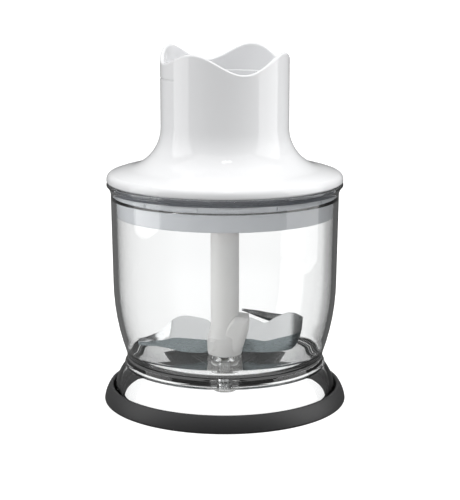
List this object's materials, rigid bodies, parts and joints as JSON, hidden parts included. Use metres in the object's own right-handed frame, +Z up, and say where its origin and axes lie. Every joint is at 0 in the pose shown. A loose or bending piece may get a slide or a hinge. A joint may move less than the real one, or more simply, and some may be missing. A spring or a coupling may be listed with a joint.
{
  "type": "food chopper attachment",
  "caption": "Clear chopper bowl on a rubber ring, with a two-winged blade on a steel pin and a geared lid whose collar takes a stick mixer's motor part.",
  "frame": {"origin": "centre of the rubber ring's foot, on the surface it stands on", "axes": "+Z up along the blade's axis; -Y is the front, 9 degrees round from the dip in the collar's rim"},
  "size_m": [0.118, 0.118, 0.172],
  "materials": {
    "clear_plastic": "clear moulded plastic",
    "white_gloss": "gloss white",
    "white_matte": "plain moulded white",
    "soft_rubber": "matt dark grey",
    "seal_rubber": "matt",
    "blade_steel": "ground and polished",
    "pin_steel": "ground",
    "screw_steel": "zinc plated",
    "gear_plastic": "natural acetal",
    "grey_plastic": "glass-filled grey",
    "bronze": "sintered"
  },
  "bodies": {
    "base_ring": {"anti_slip_ring": "soft_rubber"},
    "bowl": {"bowl": "clear_plastic", "centre_pin": "pin_steel"},
    "sleeve": {"pin_bush": "gear_plastic"},
    "blade": {"blade_hub": "white_matte", "lower_blade": "blade_steel", "upper_blade": "blade_steel"},
    "lid": {"lid_shell": "white_gloss", "lid_base": "white_matte", "gearbox_cover": "grey_plastic", "lid_screws": "screw_steel", "cover_screws": "screw_steel", "ring_gear": "gear_plastic", "input_bush": "bronze", "output_bush": "bronze", "thrust_washer": "bronze", "shaft_seal": "seal_rubber"},
    "input": {"input_shaft": "pin_steel", "shaft_clip": "screw_steel", "drive_coupling": "grey_plastic", "sun_gear": "pin_steel"},
    "carrier": {"planet_carrier": "grey_plastic", "carrier_plate": "grey_plastic", "planet_pins": "pin_steel"},
    "planet_1": {"planet_gear_1": "gear_plastic"},
    "planet_2": {"planet_gear_2": "gear_plastic"},
    "planet_3": {"planet_gear_3": "gear_plastic"}
  },
  "joints": [
    {"name": "bowl_lift", "type": "slide", "parent": "base_ring", "child": "bowl", "axis": [0, 0, 1], "range_m": [0, 0.04]},
    {"name": "lid_lift", "type": "slide", "parent": "bowl", "child": "lid", "axis": [0, 0, 1], "range_m": [0, 0.17]},
    {"name": "blade_lift", "type": "slide", "parent": "bowl", "child": "sleeve", "axis": [0, 0, 1], "range_m": [0, 0.0935]},
    {"name": "blade_spin", "type": "hinge", "parent": "sleeve", "child": "blade", "pos_m": [0, 0, 0.09], "axis": [0, 0, 1], "continuous": true},
    {"name": "carrier_spin", "type": "hinge", "parent": "lid", "child": "carrier", "pos_m": [0, 0, 0.09], "axis": [0, 0, 1], "continuous": true},
    {"name": "input_spin", "type": "hinge", "parent": "lid", "child": "input", "pos_m": [0, 0, 0.09], "axis": [0, 0, 1], "continuous": true},
    {"name": "planet_1_spin", "type": "hinge", "parent": "carrier", "child": "planet_1", "pos_m": [0, 0.015, 0.1], "axis": [0, 0, 1], "continuous": true},
    {"name": "planet_2_spin", "type": "hinge", "parent": "carrier", "child": "planet_2", "pos_m": [-0.01299, -0.0075, 0.1], "axis": [0, 0, 1], "continuous": true},
    {"name": "planet_3_spin", "type": "hinge", "parent": "carrier", "child": "planet_3", "pos_m": [0.01299, -0.0075, 0.1], "axis": [0, 0, 1], "continuous": true}
  ],
  "couplings": [
    {"joint": "blade_lift", "follows": "lid_lift", "ratio": 0.55},
    {"joint": "carrier_spin", "follows": "blade_spin", "ratio": 1},
    {"joint": "input_spin", "follows": "blade_spin", "ratio": 4},
    {"joint": "planet_1_spin", "follows": "blade_spin", "ratio": -3},
    {"joint": "planet_2_spin", "follows": "blade_spin", "ratio": -3},
    {"joint": "planet_3_spin", "follows": "blade_spin", "ratio": -3}
  ]
}
